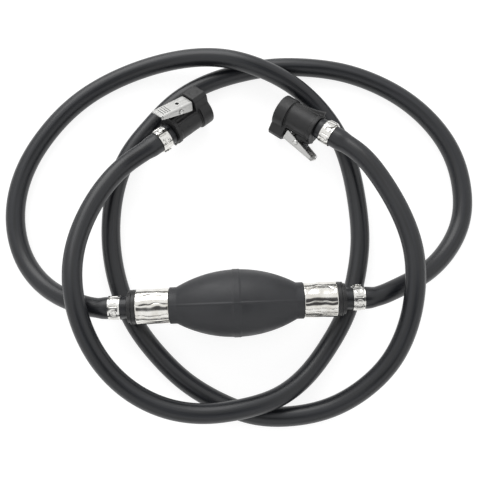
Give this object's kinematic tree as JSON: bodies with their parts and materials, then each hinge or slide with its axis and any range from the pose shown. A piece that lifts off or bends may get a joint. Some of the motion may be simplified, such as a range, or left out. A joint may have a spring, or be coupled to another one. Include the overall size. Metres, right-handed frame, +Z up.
{
  "type": "outboard fuel line with primer bulb",
  "caption": "Flexible fuel hose with a squeeze primer bulb and check valves in its middle and a latching quick connector at each end.",
  "frame": {"origin": "on the table, under the middle of the box around the bulb, its clamps and the two connectors", "axes": "+X along the bulb from the tank side to the engine side, +Z up from the table"},
  "size_m": [0.3505, 0.2856, 0.0503],
  "materials": {
    "hose_rubber": "satin",
    "bulb_rubber": "matte",
    "sleeve_steel": "bright, wrinkled by crimping",
    "clamp_steel": "bright stainless",
    "body_plastic": "moulded, matte",
    "lever_steel": "satin stainless",
    "pin_steel": "satin",
    "nipple_brass": "machined",
    "seal_rubber": "moulded",
    "spring_steel": "drawn wire",
    "valve_body_plastic": "moulded",
    "valve_plastic": "moulded, natural"
  },
  "bodies": {
    "root": {"primer_bulb": "bulb_rubber", "inlet_sleeve": "sleeve_steel", "outlet_sleeve": "sleeve_steel", "inlet_valve_body": "valve_body_plastic", "outlet_valve_body": "valve_body_plastic", "inlet_valve_spring": "spring_steel", "outlet_valve_spring": "spring_steel", "inlet_valve_cage": "valve_plastic", "outlet_valve_seat": "valve_plastic", "bulb_inlet_clamp": "clamp_steel", "bulb_outlet_clamp": "clamp_steel", "tank_hose": "hose_rubber", "engine_hose": "hose_rubber", "tank_hose_clamp": "clamp_steel", "engine_hose_clamp": "clamp_steel", "tank_connector_body": "body_plastic", "tank_hose_nipple": "nipple_brass", "tank_lever_pin": "pin_steel", "tank_lever_spring": "spring_steel", "tank_valve_spring": "spring_steel", "tank_fuel_seal": "seal_rubber", "engine_connector_body": "body_plastic", "engine_hose_nipple": "nipple_brass", "engine_lever_pin": "pin_steel", "engine_lever_spring": "spring_steel", "engine_valve_spring": "spring_steel", "engine_fuel_seal": "seal_rubber"},
    "tank_lever": {"tank_latch_lever": "lever_steel"},
    "tank_poppet": {"tank_valve_poppet": "valve_plastic"},
    "engine_lever": {"engine_latch_lever": "lever_steel"},
    "engine_poppet": {"engine_valve_poppet": "valve_plastic"},
    "inlet_disc": {"inlet_valve_disc": "valve_plastic"},
    "outlet_disc": {"outlet_valve_disc": "valve_plastic"}
  },
  "joints": [
    {"name": "tank_lever_press", "type": "hinge", "parent": "root", "child": "tank_lever", "pos_m": [-0.03898, 0.07447, 0.03254], "axis": [0.6554, -0.6343, 0.4101], "range_deg": [0, 9], "stiffness_Nm_per_rad": 0.12, "springref_deg": -20.05, "deforming": ["tank_lever_spring"]},
    {"name": "tank_poppet_slide", "type": "slide", "parent": "root", "child": "tank_poppet", "axis": [-0.7487, -0.6172, 0.2419], "range_m": [0, 0.003], "stiffness_N_per_m": 300, "springref_m": -0.004, "deforming": ["tank_valve_spring"]},
    {"name": "engine_lever_press", "type": "hinge", "parent": "root", "child": "engine_lever", "pos_m": [0.05181, 0.05213, 0.01272], "axis": [-0.5006, -0.3509, 0.7913], "range_deg": [0, 9], "stiffness_Nm_per_rad": 0.12, "springref_deg": -20.05, "deforming": ["engine_lever_spring"]},
    {"name": "engine_poppet_slide", "type": "slide", "parent": "root", "child": "engine_poppet", "axis": [0.7602, -0.6156, 0.2079], "range_m": [0, 0.003], "stiffness_N_per_m": 300, "springref_m": -0.004, "deforming": ["engine_valve_spring"]},
    {"name": "inlet_disc_slide", "type": "slide", "parent": "root", "child": "inlet_disc", "axis": [1, 0, 0], "range_m": [0, 0.002], "stiffness_N_per_m": 60, "springref_m": -0.003, "deforming": ["inlet_valve_spring"]},
    {"name": "outlet_disc_slide", "type": "slide", "parent": "root", "child": "outlet_disc", "axis": [1, 0, 0], "range_m": [0, 0.002], "stiffness_N_per_m": 60, "springref_m": -0.003, "deforming": ["outlet_valve_spring"]}
  ]
}
